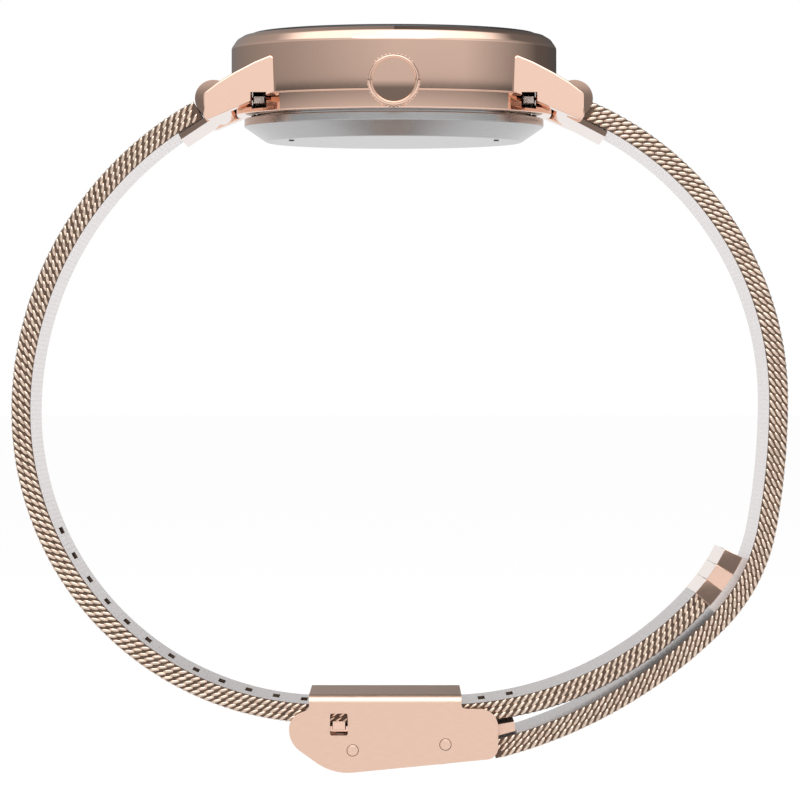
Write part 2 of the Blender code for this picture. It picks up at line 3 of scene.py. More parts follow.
import bpy
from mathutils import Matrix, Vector


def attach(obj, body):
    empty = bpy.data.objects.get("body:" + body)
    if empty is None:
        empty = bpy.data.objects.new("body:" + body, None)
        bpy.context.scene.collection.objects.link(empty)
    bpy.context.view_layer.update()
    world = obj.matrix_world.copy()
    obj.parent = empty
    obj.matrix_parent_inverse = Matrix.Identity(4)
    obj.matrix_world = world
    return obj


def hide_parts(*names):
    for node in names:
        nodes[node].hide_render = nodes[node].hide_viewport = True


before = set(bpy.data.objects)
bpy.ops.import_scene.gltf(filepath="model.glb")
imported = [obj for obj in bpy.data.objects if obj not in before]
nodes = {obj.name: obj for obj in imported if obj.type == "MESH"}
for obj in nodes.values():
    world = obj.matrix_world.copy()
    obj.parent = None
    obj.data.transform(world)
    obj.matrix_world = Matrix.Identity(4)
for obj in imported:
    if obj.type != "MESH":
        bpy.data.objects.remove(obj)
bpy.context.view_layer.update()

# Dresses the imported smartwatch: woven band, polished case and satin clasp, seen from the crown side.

bpy.ops.object.select_all(action="DESELECT")

MM = 0.001
BAND_WIDTH = 18.0 * MM
BAND_HALF = BAND_WIDTH / 2
BAND_THICK = 2.1 * MM
NOTCHES = 19
NOTCH_STEP = 3.35 * MM


# Finishes


def shader_of(name):
    material = bpy.data.materials.new(name)
    material.use_nodes = True
    tree = material.node_tree
    return material, tree, tree.nodes["Principled BSDF"]


def metal(name, dark, light, rough, scale, stretch=(1, 1, 1), bump=0.05, metallic=1.0):
    """A metal whose tone and gloss drift along its grain."""
    material, tree, shader = shader_of(name)
    shader.inputs["Metallic"].default_value = metallic
    place = tree.nodes.new("ShaderNodeTexCoord")
    turn = tree.nodes.new("ShaderNodeMapping")
    turn.inputs["Scale"].default_value = stretch
    tree.links.new(place.outputs["Object"], turn.inputs["Vector"])
    grain = tree.nodes.new("ShaderNodeTexNoise")
    grain.inputs["Scale"].default_value = scale
    grain.inputs["Detail"].default_value = 4
    tree.links.new(turn.outputs["Vector"], grain.inputs["Vector"])
    tone = tree.nodes.new("ShaderNodeValToRGB")
    tone.color_ramp.elements[0].position = 0.3
    tone.color_ramp.elements[1].position = 0.7
    tone.color_ramp.elements[0].color = (*dark, 1)
    tone.color_ramp.elements[1].color = (*light, 1)
    tree.links.new(grain.outputs["Fac"], tone.inputs["Fac"])
    tree.links.new(tone.outputs["Color"], shader.inputs["Base Color"])
    gloss = tree.nodes.new("ShaderNodeMapRange")
    gloss.inputs["To Min"].default_value = rough * 0.8
    gloss.inputs["To Max"].default_value = rough * 1.25
    tree.links.new(grain.outputs["Fac"], gloss.inputs["Value"])
    tree.links.new(gloss.outputs["Result"], shader.inputs["Roughness"])
    relief = tree.nodes.new("ShaderNodeBump")
    relief.inputs["Strength"].default_value = bump
    relief.inputs["Distance"].default_value = 0.00002
    tree.links.new(grain.outputs["Fac"], relief.inputs["Height"])
    tree.links.new(relief.outputs["Normal"], shader.inputs["Normal"])
    return material


def wrist_weave(name):
    """The band's flattened inner side: close rows of pressed wire."""
    material, tree, shader = shader_of(name)
    shader.inputs["Metallic"].default_value = 0.85
    shader.inputs["Roughness"].default_value = 0.18
    place = tree.nodes.new("ShaderNodeUVMap")
    place.uv_map = "along"
    rows = tree.nodes.new("ShaderNodeTexBrick")
    rows.offset = 0.5
    rows.inputs["Scale"].default_value = 1.0
    rows.inputs["Brick Width"].default_value = 1.3
    rows.inputs["Row Height"].default_value = 0.55
    rows.inputs["Mortar Size"].default_value = 0.06
    rows.inputs["Mortar Smooth"].default_value = 0.6
    rows.inputs["Color1"].default_value = (0.70, 0.625, 0.615, 1)
    rows.inputs["Color2"].default_value = (0.67, 0.595, 0.585, 1)
    rows.inputs["Mortar"].default_value = (0.58, 0.505, 0.495, 1)
    tree.links.new(place.outputs["UV"], rows.inputs["Vector"])
    tree.links.new(rows.outputs["Color"], shader.inputs["Base Color"])
    relief = tree.nodes.new("ShaderNodeBump")
    relief.invert = True
    relief.inputs["Strength"].default_value = 0.12
    relief.inputs["Distance"].default_value = 0.00005
    tree.links.new(rows.outputs["Fac"], relief.inputs["Height"])
    tree.links.new(relief.outputs["Normal"], shader.inputs["Normal"])
    return material


polished_rose = metal("polished_rose", (0.815, 0.562, 0.447), (0.825, 0.572, 0.457), 0.03, 2600, bump=0.0)
mirror_rose = metal("mirror_rose", (0.815, 0.562, 0.447), (0.825, 0.572, 0.457), 0.008, 2600, bump=0.0)
satin_rose = metal("satin_rose", (0.765, 0.53, 0.415), (0.815, 0.575, 0.46), 0.36, 900, (1, 1, 14), 0.06)
wire_rose = metal("wire_rose", (0.62, 0.485, 0.395), (0.80, 0.645, 0.535), 0.21, 700, bump=0.04)
# weave_shadow is painted shade: a near-black body that shows as the shade in the gaps between the wires.
weave_shadow = metal("weave_shadow", (0.10, 0.066, 0.05), (0.17, 0.12, 0.09), 0.5, 1500, bump=0.1)
back_steel = metal("back_steel", (0.41, 0.41, 0.41), (0.46, 0.46, 0.46), 0.24, 1200, (1, 1, 20), 0.01)
pin_steel = metal("pin_steel", (0.50, 0.48, 0.46), (0.66, 0.64, 0.62), 0.22, 1200)
glass_dark = metal("glass_dark", (0.008, 0.008, 0.01), (0.014, 0.014, 0.017), 0.04, 300, bump=0.0, metallic=0.0)
panel_dark = metal("panel_dark", (0.006, 0.006, 0.008), (0.012, 0.012, 0.014), 0.12, 400, bump=0.0, metallic=0.0)
seal_rubber = metal("seal_rubber", (0.02, 0.02, 0.02), (0.035, 0.035, 0.035), 0.7, 2500, bump=0.3, metallic=0.0)
frame_plastic = metal("frame_plastic", (0.66, 0.60, 0.55), (0.76, 0.70, 0.65), 0.5, 1800, bump=0.1, metallic=0.0)
black_plastic = metal("black_plastic", (0.02, 0.02, 0.02), (0.04, 0.04, 0.04), 0.45, 2500, bump=0.2, metallic=0.0)
board_green = metal("board_green", (0.02, 0.12, 0.06), (0.05, 0.20, 0.10), 0.45, 900, bump=0.2, metallic=0.0)
foil_wrap = metal("foil_wrap", (0.50, 0.51, 0.53), (0.62, 0.63, 0.65), 0.35, 700, bump=0.2)
wrist_side = wrist_weave("wrist_side")

CAD_FINISH = {
    polished_rose: ("case_middle", "crown", "lock_plate", "catch_pin", "strap_pin",
                    "end_link_long", "end_link_short"),
    satin_rose: ("band_hook", "tail_cap", "clasp_bracket", "clasp_lever"),
    wire_rose: ("mesh_band_long", "mesh_band_short"),
    back_steel: ("caseback",), pin_steel: ("crown_tube", "crown_stem", "spring_bar_long", "spring_bar_short"),
    glass_dark: ("cover_glass",), panel_dark: ("display_panel",), seal_rubber: ("glass_seal",),
    frame_plastic: ("inner_frame",), black_plastic: ("crown_switch", "switch_plunger"),
    board_green: ("main_board",), foil_wrap: ("battery", "haptic_motor"),
}
for material, names in CAD_FINISH.items():
    for name in names:
        nodes[name].data.materials.clear()
        nodes[name].data.materials.append(material)


# Modelling steps


def begin():
    bpy.ops.object.select_all(action="DESELECT")


def faces(piece, test):
    """Select the faces that pass a test, in edit mode."""
    bpy.ops.object.mode_set(mode="OBJECT")
    mesh = piece.data
    for part in (mesh.vertices, mesh.edges, mesh.polygons):
        for item in part:
            item.select = False
    for polygon in mesh.polygons:
        polygon.select = test(polygon)
    bpy.ops.object.mode_set(mode="EDIT")
    bpy.ops.mesh.select_mode(type="FACE")


def repeat(piece, count, step, merge=False):
    array = piece.modifiers.new("repeat", "ARRAY")
    array.count = count
    array.use_relative_offset = False
    array.use_constant_offset = True
    array.constant_offset_displace = step
    array.use_merge_vertices = merge
    array.merge_threshold = 0.000001


def apply_all(piece):
    bpy.context.view_layer.objects.active = piece
    for modifier in list(piece.modifiers):
        bpy.ops.object.modifier_apply(modifier=modifier.name)


def seat(piece, name, body, slot, *materials):
    """Name a finished piece, leave its place in its mesh and let it ride on its body."""
    begin()
    piece.select_set(True)
    bpy.context.view_layer.objects.active = piece
    bpy.ops.object.transform_apply(location=True, rotation=True, scale=True)
    piece.name = name
    piece.data.name = name
    for material in materials:
        piece.data.materials.append(material)
    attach(piece, body)
    return piece


def joined(pieces):
    begin()
    for piece in pieces:
        piece.select_set(True)
    bpy.context.view_layer.objects.active = pieces[0]
    bpy.ops.object.join()
    return pieces[0]


def trace(points):
    """Start from one vertex and extrude it along a line of points; leaves edit mode on."""
    begin()
    bpy.ops.mesh.primitive_plane_add(size=0.001, location=(0, 0, 0))
    piece = bpy.context.object
    bpy.ops.object.mode_set(mode="EDIT")
    bpy.ops.mesh.merge(type="CENTER")
    bpy.ops.mesh.select_mode(type="VERT")
    bpy.ops.mesh.select_all(action="SELECT")
    here = Vector(points[0])
    bpy.ops.transform.translate(value=here)
    for spot in points[1:]:
        step = Vector(spot) - here
        bpy.ops.mesh.extrude_vertices_move(TRANSFORM_OT_translate={"value": step})
        here = Vector(spot)
    return piece


def close_up(piece, angle=30):
    """Merge doubles, point the faces outwards and shade by angle."""
    bpy.ops.mesh.select_all(action="SELECT")
    bpy.ops.mesh.remove_doubles(threshold=0.0000005)
    bpy.ops.mesh.normals_make_consistent(inside=False)
    bpy.ops.object.mode_set(mode="OBJECT")
    smooth(piece, angle)
    return piece


def smooth(piece, angle=30):
    begin()
    piece.select_set(True)
    bpy.context.view_layer.objects.active = piece
    bpy.ops.object.shade_smooth_by_angle(angle=math.radians(angle))


def turned(profile, steps=144, axis="Z", height=0.0, closed=False):
    """Spin (radius, place) points about Z, or about Y at a height."""
    if axis == "Z":
        line = [(r * MM, 0, z * MM) for r, z in profile]
        spin_axis, centre = (0, 0, 1), (0, 0, 0)
    else:
        line = [(r * MM, y * MM, height * MM) for r, y in profile]
        spin_axis, centre = (0, 1, 0), (0, 0, height * MM)
    piece = trace(line + line[:1] if closed else line)
    bpy.ops.mesh.select_all(action="SELECT")
    bpy.ops.mesh.spin(steps=steps, angle=2 * math.pi, center=centre, axis=spin_axis)
    return close_up(piece)


def prism(outline, near, far):
    """Extrude a closed (x, z) outline from y = near to y = far."""
    line = [(x * MM, near * MM, z * MM) for x, z in outline]
    piece = trace(line + line[:1])
    bpy.ops.mesh.select_all(action="SELECT")
    bpy.ops.mesh.remove_doubles(threshold=0.0000005)
    bpy.ops.mesh.select_all(action="SELECT")
    bpy.ops.mesh.edge_face_add()
    bpy.ops.mesh.select_all(action="SELECT")
    bpy.ops.mesh.extrude_region_move(TRANSFORM_OT_translate={"value": (0, (far - near) * MM, 0)})
    return close_up(piece)


def block(low, high):
    begin()
    middle = [(a + b) / 2 * MM for a, b in zip(low, high)]
    bpy.ops.mesh.primitive_cube_add(size=1, location=middle)
    piece = bpy.context.object
    piece.scale = [(b - a) * MM for a, b in zip(low, high)]
    bpy.ops.object.transform_apply(location=True, rotation=False, scale=True)
    return piece


def bar(x, z, radius, near, far, sides=40):
    """A round bar along Y."""
    begin()
    bpy.ops.mesh.primitive_cylinder_add(
        vertices=sides, radius=radius * MM, depth=(far - near) * MM,
        location=(x * MM, (near + far) / 2 * MM, z * MM), rotation=(math.pi / 2, 0, 0))
    bpy.ops.object.transform_apply(location=True, rotation=True, scale=False)
    return bpy.context.object


def carve(piece, tool, operation="DIFFERENCE"):
    boolean = piece.modifiers.new("carve", "BOOLEAN")
    boolean.operation = operation
    boolean.object = tool
    boolean.solver = "EXACT"
    apply_all(piece)
    bpy.data.objects.remove(tool)


def ease(piece, width, segments=2, angle=40):
    """Round a piece's edges."""
    bevel = piece.modifiers.new("ease", "BEVEL")
    bevel.width = width * MM
    bevel.segments = segments
    bevel.limit_method = "ANGLE"
    bevel.angle_limit = math.radians(angle)
    apply_all(piece)
    smooth(piece, 35)
    even(piece)


def even(piece):
    """Let large flat faces keep their own normals."""
    weigh = piece.modifiers.new("even", "WEIGHTED_NORMAL")
    weigh.keep_sharp = True
    apply_all(piece)


def rounded(corners, steps=6):
    """A line with each (x, z, radius) corner rounded by an arc."""
    line = []
    for i, (x, z, radius) in enumerate(corners):
        if radius == 0:
            line.append((x, z))
            continue
        here = Vector((x, z))
        before = (Vector(corners[i - 1][:2]) - here).normalized()
        after = (Vector(corners[(i + 1) % len(corners)][:2]) - here).normalized()
        half = before.angle(after) / 2
        centre = here + (before + after).normalized() * (radius / math.sin(half))
        first = here + before * (radius / math.tan(half)) - centre
        last = here + after * (radius / math.tan(half)) - centre
        for step in range(steps + 1):
            line.append(tuple(centre + first.lerp(last, step / steps).normalized() * radius))
    return line


# Case

LUG_SIDE = [(11.6, 7.2), (12.75, 8.0), (13.1, 8.7), (13.5, 8.96), (15.2, 8.25), (17.4, 7.1), (19.2,
            6.0), (20.5, 5.0), (20.8, 4.75),
            (20.8, 2.25), (20.55, 1.98), (20.1, 2.0), (18.0, 2.88), (15.4, 4.0), (12.9, 5.02), (11.6, 5.02)]
LUG_NEAR, LUG_FAR = 9.3, 12.6
LUG_FOOT = 2
LUG_LEAN = 2
BAR_X, BAR_Z = 19.8, 4.4
SLOT_X, SLOT_HALF = 14.8, 0.85
CROWN_Z = 5.7

case = turned(rounded([
    (16.3, 11.8, 0), (16.75, 11.8, 0.12), (17.5, 11.35, 0.8), (18.1, 10.45, 0.6),
    (18.1, 4.9, 0.08), (17.72, 4.88, 0.06),
    (17.7, 2.9, 0.15), (15.9, 2.9, 0.05), (15.9, 9.4, 0), (15.2, 9.4, 0), (15.2, 10.1, 0), (16.3,
    10.1, 0)], 4), closed=True)
lugs = []
for side in (-1, 1):
    low, high = sorted((side * 17.45, side * 19.1))
    carve(case, block((low, -9.25, 1.9), (high, 9.25, 6.75)))
    for side_y in (-1, 1):
        near, far = sorted((side_y * LUG_NEAR, side_y * LUG_FAR))
        lug = prism([(side * x, z) for x, z in LUG_SIDE], near, far)
        faces(lug, lambda f: f.normal.y * side_y > 0.9)
        bpy.ops.transform.rotate(value=-math.radians(LUG_LEAN) * side_y, orient_axis="X",
                                 center_override=(0, side_y * LUG_FAR * MM, LUG_FOOT * MM))
        bpy.ops.object.mode_set(mode="OBJECT")
        ease(lug, 0.16, 3, 30)
        carve(lug, bar(side * BAR_X, BAR_Z, 1.05, -10.8, 10.8))
        near, far = sorted((side_y * 2.5, side_y * 13.95))
        for solid in (case, lug):
            carve(solid, block((side * SLOT_X - SLOT_HALF, near, 3.3), (side * SLOT_X + SLOT_HALF, far, 4.9)))
        smooth(lug, 35)
        even(lug)
        lugs.append(lug)
carve(case, bar(0, CROWN_Z, 1.6, -19.1, -14.9))
smooth(case, 28)
even(case)
seat(joined(lugs), "lugs_polished", "case", "polished_rose", polished_rose)
seat(case, "case_polished", "case", "polished_rose", polished_rose)
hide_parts("case_middle")

back = turned(rounded([
    (0.001, 3.6, 0), (15.3, 3.6, 0), (15.3, 2.6, 0), (16.66, 2.6, 0.15), (16.66, 1.7, 0.12),
    (14.2, 0.0, 0.5), (0.001, 0.0, 0)], 4))
smooth(back, 28)
even(back)
seat(back, "back_brushed", "case", "steel", back_steel)
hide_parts("caseback")
marks = []
for x in (-11.3, 11.3):
    begin()
    bpy.ops.mesh.primitive_cylinder_add(vertices=20, radius=0.3 * MM, depth=0.5 * MM,
                                        location=(x * MM, -5.6 * MM, 0.13 * MM))
    mark = bpy.context.object
    ease(mark, 0.05, 2)
    marks.append(mark)
seat(joined(marks), "back_contacts", "case", "steel", black_plastic)

glass = turned(rounded([(0.001, 12.1, 0), (16.0, 12.1, 0.35), (16.0, 11.1, 0.1), (0.001, 11.1, 0)], 5))
seat(glass, "glass_dark", "case", "cover_glass", glass_dark)
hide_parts("cover_glass")

# Crown

crown = turned(rounded([
    (0.001, -21.45, 0), (2.32, -21.45, 0), (2.42, -21.6, 0.06), (2.62, -21.6, 0.1), (2.78, -21.4, 0.12),
    (2.78, -19.2, 0.1), (2.55, -19.0, 0.1), (0.95, -19.0, 0.05), (0.9, -20.2, 0), (0.001, -20.2,
    0)], 4), 96, "Y", CROWN_Z)
seat(crown, "crown_polished", "crown", "polished_rose", mirror_rose)
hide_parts("crown")
tooth = block((2.66, -21.3, CROWN_Z - 0.14), (2.88, -19.25, CROWN_Z + 0.14))
ease(tooth, 0.07, 1)
bpy.ops.object.mode_set(mode="EDIT")
bpy.ops.mesh.select_all(action="SELECT")
bpy.ops.mesh.spin(steps=40, dupli=True, angle=2 * math.pi, center=(0, 0, CROWN_Z * MM), axis=(0, 1, 0))
close_up(tooth)
seat(tooth, "crown_teeth", "crown", "polished_rose", polished_rose)

# Clasp

PINS = (("catch_pin", -4.52, -67.09), ("strap_pin", 5.65, -66.45))
CLASP_SIDE = rounded([
    (-9.3, -61.0, 0), (-9.3, -62.6, 0.6), (-11.5, -63.5, 1.9), (-11.5, -66.3, 2.9), (-6.7, -69.75, 6.0),
    (11.43, -67.98, 1.3), (11.43, -62.55, 2.0), (7.4, -62.55, 0.5), (7.4, -61.0, 0)], 10)
clasp = block((-14, -10.05, -72), (14, 10.05, -61.0))
bpy.ops.object.mode_set(mode="EDIT")
bpy.ops.mesh.select_mode(type="EDGE")
bpy.ops.mesh.select_all(action="DESELECT")
bpy.ops.object.mode_set(mode="OBJECT")
for edge in clasp.data.edges:
    ends = [clasp.data.vertices[v].co for v in edge.vertices]
    edge.select = all(end.z > -0.062 for end in ends) and abs(ends[0].y - ends[1].y) < 0.0001
bpy.ops.object.mode_set(mode="EDIT")
bpy.ops.mesh.bevel(offset=0.95 * MM, segments=8, affect="EDGES")
bpy.ops.object.mode_set(mode="OBJECT")
carve(clasp, block((-20, -9.35, -80), (20, 9.35, -61.6)))
carve(clasp, prism(CLASP_SIDE, -12, 12), "INTERSECT")
window = block((-7.0, -12, -65.47), (-5.05, 12, -63.06))
ease(window, 0.22, 3)
carve(clasp, window)
for name, x, z in PINS:
    carve(clasp, bar(x, z, 0.66, -12, 12))
ease(clasp, 0.07, 2, 40)
seat(clasp, "clasp_satin", "clasp", "satin_rose", satin_rose)
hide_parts("clasp_bracket")
for name, x, z in PINS:
    pin = bar(x, z, 0.61, -10.08, 10.08)
    ease(pin, 0.06, 2)
    seat(pin, name + "_round", "clasp", "polished_rose", satin_rose)
    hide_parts(name)

lock = block((-7.6, -9.05, -65.1), (-3.0, 9.05, -64.5))
for side_y in (-1, 1):
    near, far = sorted((side_y * 8.9, side_y * 9.93))
    carve(lock, block((-6.72, near, -64.85), (-5.33, far, -63.92)), "UNION")
ease(lock, 0.08, 2)
seat(lock, "lock_polished", "lock_plate", "polished_rose", polished_rose)
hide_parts("lock_plate")


# Woven bands


def band_guide(start, heading, runs, side):
    """A flat guide line along the band's outer face: (radius, turn) arcs and (0, length) straights."""
    place = Vector(start)
    angle = math.radians(heading)
    line = [place.copy()]
    for radius, turn in runs:
        steps = max(4, round(turn / 1.2))
        centre = place + radius * side * Vector((-math.sin(angle), math.cos(angle)))
        for i in range(steps):
            if radius == 0:
                place = place + turn / steps * Vector((math.cos(angle), math.sin(angle)))
            else:
                angle += side * math.radians(turn) / steps
                place = centre + radius * side * Vector((math.sin(angle), -math.cos(angle)))
            line.append(place.copy())
    curve = bpy.data.curves.new("band_guide", "CURVE")
    curve.dimensions = "2D"
    spline = curve.splines.new("POLY")
    spline.points.add(len(line) - 1)
    for point, spot in zip(spline.points, line):
        point.co = (spot.x * MM, spot.y * MM, 0, 1)
    guide = bpy.data.objects.new("band_guide", curve)
    bpy.context.scene.collection.objects.link(guide)
    length = sum((b - a).length for a, b in zip(line, line[1:])) * MM
    return guide, length


def lay_along(piece, guide):
    """Bend a straight piece along a guide and stand it upright."""
    bend = piece.modifiers.new("lay", "CURVE")
    bend.object = guide
    bend.deform_axis = "POS_X"
    apply_all(piece)
    piece.rotation_euler = (math.pi / 2, 0, 0)


def grain(length, thick, lean, place, flat=False, sides=8, rings=5):
    """One pressed wire of the weave, as an oval leaning to the band's direction."""
    begin()
    bpy.ops.mesh.primitive_uv_sphere_add(segments=sides, ring_count=rings, radius=0.5, rotation=(0, math.pi / 2, 0))
    piece = bpy.context.object
    bpy.ops.object.transform_apply(location=False, rotation=True, scale=False)
    piece.scale = (length, thick, thick)
    bpy.ops.object.transform_apply(location=False, rotation=False, scale=True)
    piece.rotation_euler = (0, lean, 0) if flat else (0, 0, lean)
    piece.location = place
    bpy.ops.object.transform_apply(location=True, rotation=True, scale=False)
    bpy.ops.object.shade_smooth()
    return piece


def core_slab(length, inner, guide, first, notch_from=None):
    """The closed body of a band behind its wires, with its pressed wrist side and its notches."""
    step = 1.0 * MM
    count = round((length - first) / step)
    step = (length - first) / count
    begin()
    bpy.ops.mesh.primitive_cube_add(size=1, location=(first + step / 2, inner * BAND_THICK / 2, 0))
    slab = bpy.context.object
    slab.scale = (step, BAND_THICK - 0.16 * MM, BAND_WIDTH - 0.3 * MM)
    bpy.ops.object.transform_apply(location=True, rotation=False, scale=True)
    faces(slab, lambda f: abs(f.normal.x) < 0.5 and f.normal.y * inner > 0.5)
    bpy.ops.transform.translate(value=(0, 0.08 * MM * inner, 0))
    faces(slab, lambda f: abs(f.normal.x) > 0.5)
    bpy.ops.mesh.delete(type="ONLY_FACE")
    bpy.ops.object.mode_set(mode="OBJECT")
    repeat(slab, count, (step, 0, 0), merge=True)
    apply_all(slab)
    bpy.ops.object.mode_set(mode="EDIT")
    bpy.ops.mesh.select_mode(type="EDGE")
    bpy.ops.mesh.select_all(action="DESELECT")
    bpy.ops.mesh.select_non_manifold()
    bpy.ops.mesh.edge_face_add()
    bpy.ops.mesh.select_all(action="SELECT")
    bpy.ops.mesh.normals_make_consistent(inside=False)
    bpy.ops.object.mode_set(mode="OBJECT")
    if notch_from is not None:
        begin()
        bpy.ops.mesh.primitive_cube_add(size=1, location=(notch_from, inner * BAND_THICK, 0))
        notch = bpy.context.object
        notch.scale = (0.8 * MM, 1.0 * MM, 6.0 * MM)
        bpy.ops.object.transform_apply(location=True, rotation=False, scale=True)
        repeat(notch, NOTCHES, (NOTCH_STEP, 0, 0))
        apply_all(notch)
        pierce = slab.modifiers.new("notches", "BOOLEAN")
        pierce.operation = "DIFFERENCE"
        pierce.object = notch
        apply_all(slab)
        bpy.data.objects.remove(notch)
    along = slab.data.uv_layers.new(name="along")
    for corner in slab.data.loops:
        spot = slab.data.vertices[corner.vertex_index].co
        along.data[corner.index].uv = (spot.z / MM, spot.x / MM)
    # The body's outer face and sides carry the painted shade of the wire gaps; its wrist face takes the pressed
    # weave.
    slab.data.materials.append(weave_shadow)
    slab.data.materials.append(wrist_side)
    for polygon in slab.data.polygons:
        spot = polygon.center
        polygon.material_index = int(polygon.normal.y * inner > 0.7 and spot.y * inner > 0.9 * BAND_THICK)
    begin()
    slab.select_set(True)
    lay_along(slab, guide)
    return slab


def edge_wires(length, inner, guide, first):
    """Three rows of leaning wires along both edges of a band."""
    pitch = 0.86 * MM
    row = 0.66 * MM
    starts = (0, 0.58, 0.30) if inner > 0 else (0, 0.71, 0.56)
    wires = [grain(1.30 * MM, 0.43 * MM, math.radians(34),
                   (first + (0.5 + start) * MM, inner * (0.39 * MM + i * row), -BAND_HALF + 0.19 * MM))
             for i, start in enumerate(starts)]
    piece = joined(wires)
    repeat(piece, 2, (0, 0, BAND_WIDTH - 0.38 * MM))
    repeat(piece, int((length - first - 1.7 * MM) / pitch) + 2, (pitch, 0, 0))
    lay_along(piece, guide)
    return piece


def face_wires(length, inner, guide, first):
    """Herringbone columns of wires over the band's outer face."""
    pitch = 0.7 * MM
    column = 0.74 * MM
    left = -BAND_HALF + 0.5 * MM
    piece = grain(0.98 * MM, 0.40 * MM, math.radians(38),
                  (first + 0.5 * MM, inner * 0.16 * MM, left), True, 6, 4)
    other = grain(0.98 * MM, 0.40 * MM, -math.radians(38),
                  (first + 0.85 * MM, inner * 0.16 * MM, left + column), True, 6, 4)
    piece = joined([piece, other])
    repeat(piece, 12, (0, 0, 2 * column))
    repeat(piece, int((length - first - 1.2 * MM) / pitch), (pitch, 0, 0))
    lay_along(piece, guide)
    return piece


LONG_RUNS = ((39.07, 60.8), (34.2, 90.0), (0, 13.5), (39.0, 48.0))
SHORT_RUNS = ((35.66, 67.3), (80.0, 10.3), (20.7, 34.7), (53.9, 31.0))
BANDS = (("long", (-22.0, 4.1), -150.8, LONG_RUNS, 1, 56.0 * MM),
         ("short", (21.4, 4.2), -22.7, SHORT_RUNS, -1, None))
for label, start, heading, runs, side, notch_from in BANDS:
    guide, length = band_guide(start, heading, runs, side)
    body = "band_" + label
    first = 0.05 * MM
    slab = seat(core_slab(length, side, guide, first, notch_from), "band_core_" + label, body, "woven_rose")
    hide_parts("mesh_band_" + label)
    seat(edge_wires(length, side, guide, first), "edge_wires_" + label, body, "woven_rose", wire_rose)
    seat(face_wires(length, side, guide, first), "face_wires_" + label, body, "woven_rose", wire_rose)
    bpy.data.objects.remove(guide)


CAP_START, CAP_HEADING, CAP_TURN = Vector((34.67, -51.30)), 48.0, 16.0
CAP_RADIUS, CAP_HALF = 23.0, 9.08


def tail_cap():
    """The polished end cap, in three facets, that carries on the long band's curve."""
    angle = math.radians(CAP_HEADING)
    centre = CAP_START + CAP_RADIUS * Vector((-math.sin(angle), math.cos(angle)))
    facets = []
    for first, lean in ((0, 4.5), (4, 0.0), (8, 4.2)):
        outs = []
        for i in range(first, first + 5):
            turn = angle + math.radians(CAP_TURN) * i / 12
            outs.append(Vector((math.sin(turn), -math.cos(turn))))
        outer = [tuple(centre + 23.03 * out) for out in outs]
        inner = [tuple(centre + 20.87 * out) for out in outs]
        facet = prism(outer + inner[::-1], -CAP_HALF, CAP_HALF)
        middle = (centre + 22 * outs[2]).y * MM
        for side_y in (-1, 1):
            faces(facet, lambda f: f.normal.y * side_y > 0.9)
            bpy.ops.transform.rotate(value=-side_y * math.radians(lean), orient_axis="X",
                                     center_override=(0, side_y * CAP_HALF * MM, middle))
            bpy.ops.object.mode_set(mode="OBJECT")
        ease(facet, 0.04, 2, 50)
        facets.append(facet)
    return joined(facets)


cap = seat(tail_cap(), "tail_cap_polished", "band_long", "satin_rose", polished_rose)
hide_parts("tail_cap")


# Stage


def glow(material, share):
    """A floor that is white to the camera and in reflections, and keeps a little shade."""
    tree = material.node_tree
    ray = tree.nodes.new("ShaderNodeLightPath")
    seen = tree.nodes.new("ShaderNodeMath")
    seen.operation = "ADD"
    tree.links.new(ray.outputs["Is Camera Ray"], seen.inputs[0])
    tree.links.new(ray.outputs["Is Glossy Ray"], seen.inputs[1])
    part = tree.nodes.new("ShaderNodeMath")
    part.operation = "MULTIPLY"
    part.inputs[1].default_value = share
    tree.links.new(seen.outputs["Value"], part.inputs[0])
    light = tree.nodes.new("ShaderNodeEmission")
    light.inputs["Color"].default_value = (1, 1, 1, 1)
    light.inputs["Strength"].default_value = 1.02
    mix = tree.nodes.new("ShaderNodeMixShader")
    tree.links.new(part.outputs["Value"], mix.inputs["Fac"])
    tree.links.new(tree.nodes["Principled BSDF"].outputs["BSDF"], mix.inputs[1])
    tree.links.new(light.outputs["Emission"], mix.inputs[2])
    tree.links.new(mix.outputs["Shader"], tree.nodes["Material Output"].inputs["Surface"])


FLOOR_Z = -0.0755
begin()
bpy.ops.mesh.primitive_plane_add(size=30, location=(0, 0, FLOOR_Z))
floor = bpy.context.object
floor.name = "floor"
floor_white, floor_tree, floor_shader = shader_of("floor_white")
floor_shader.inputs["Base Color"].default_value = (0.9, 0.9, 0.9, 1)
floor_shader.inputs["Roughness"].default_value = 0.9
glow(floor_white, 0.93)
floor.data.materials.append(floor_white)

world = bpy.data.worlds.new("studio")
bpy.context.scene.world = world
world.use_nodes = True
sky = world.node_tree
plain = sky.nodes["Background"]
plain.inputs["Color"].default_value = (1, 1, 1, 1)
plain.inputs["Strength"].default_value = 0.45
bright = sky.nodes.new("ShaderNodeBackground")
bright.inputs["Color"].default_value = (1, 1, 1, 1)
bright.inputs["Strength"].default_value = 1.0
ray = sky.nodes.new("ShaderNodeLightPath")
shown = sky.nodes.new("ShaderNodeMath")
shown.operation = "ADD"
sky.links.new(ray.outputs["Is Camera Ray"], shown.inputs[0])
sky.links.new(ray.outputs["Is Glossy Ray"], shown.inputs[1])
through = sky.nodes.new("ShaderNodeMath")
through.operation = "ADD"
through.use_clamp = True
sky.links.new(shown.outputs["Value"], through.inputs[0])
sky.links.new(ray.outputs["Is Transmission Ray"], through.inputs[1])
pick = sky.nodes.new("ShaderNodeMixShader")
sky.links.new(through.outputs["Value"], pick.inputs["Fac"])
sky.links.new(plain.outputs["Background"], pick.inputs[1])
sky.links.new(bright.outputs["Background"], pick.inputs[2])
sky.links.new(pick.outputs["Shader"], sky.nodes["World Output"].inputs["Surface"])


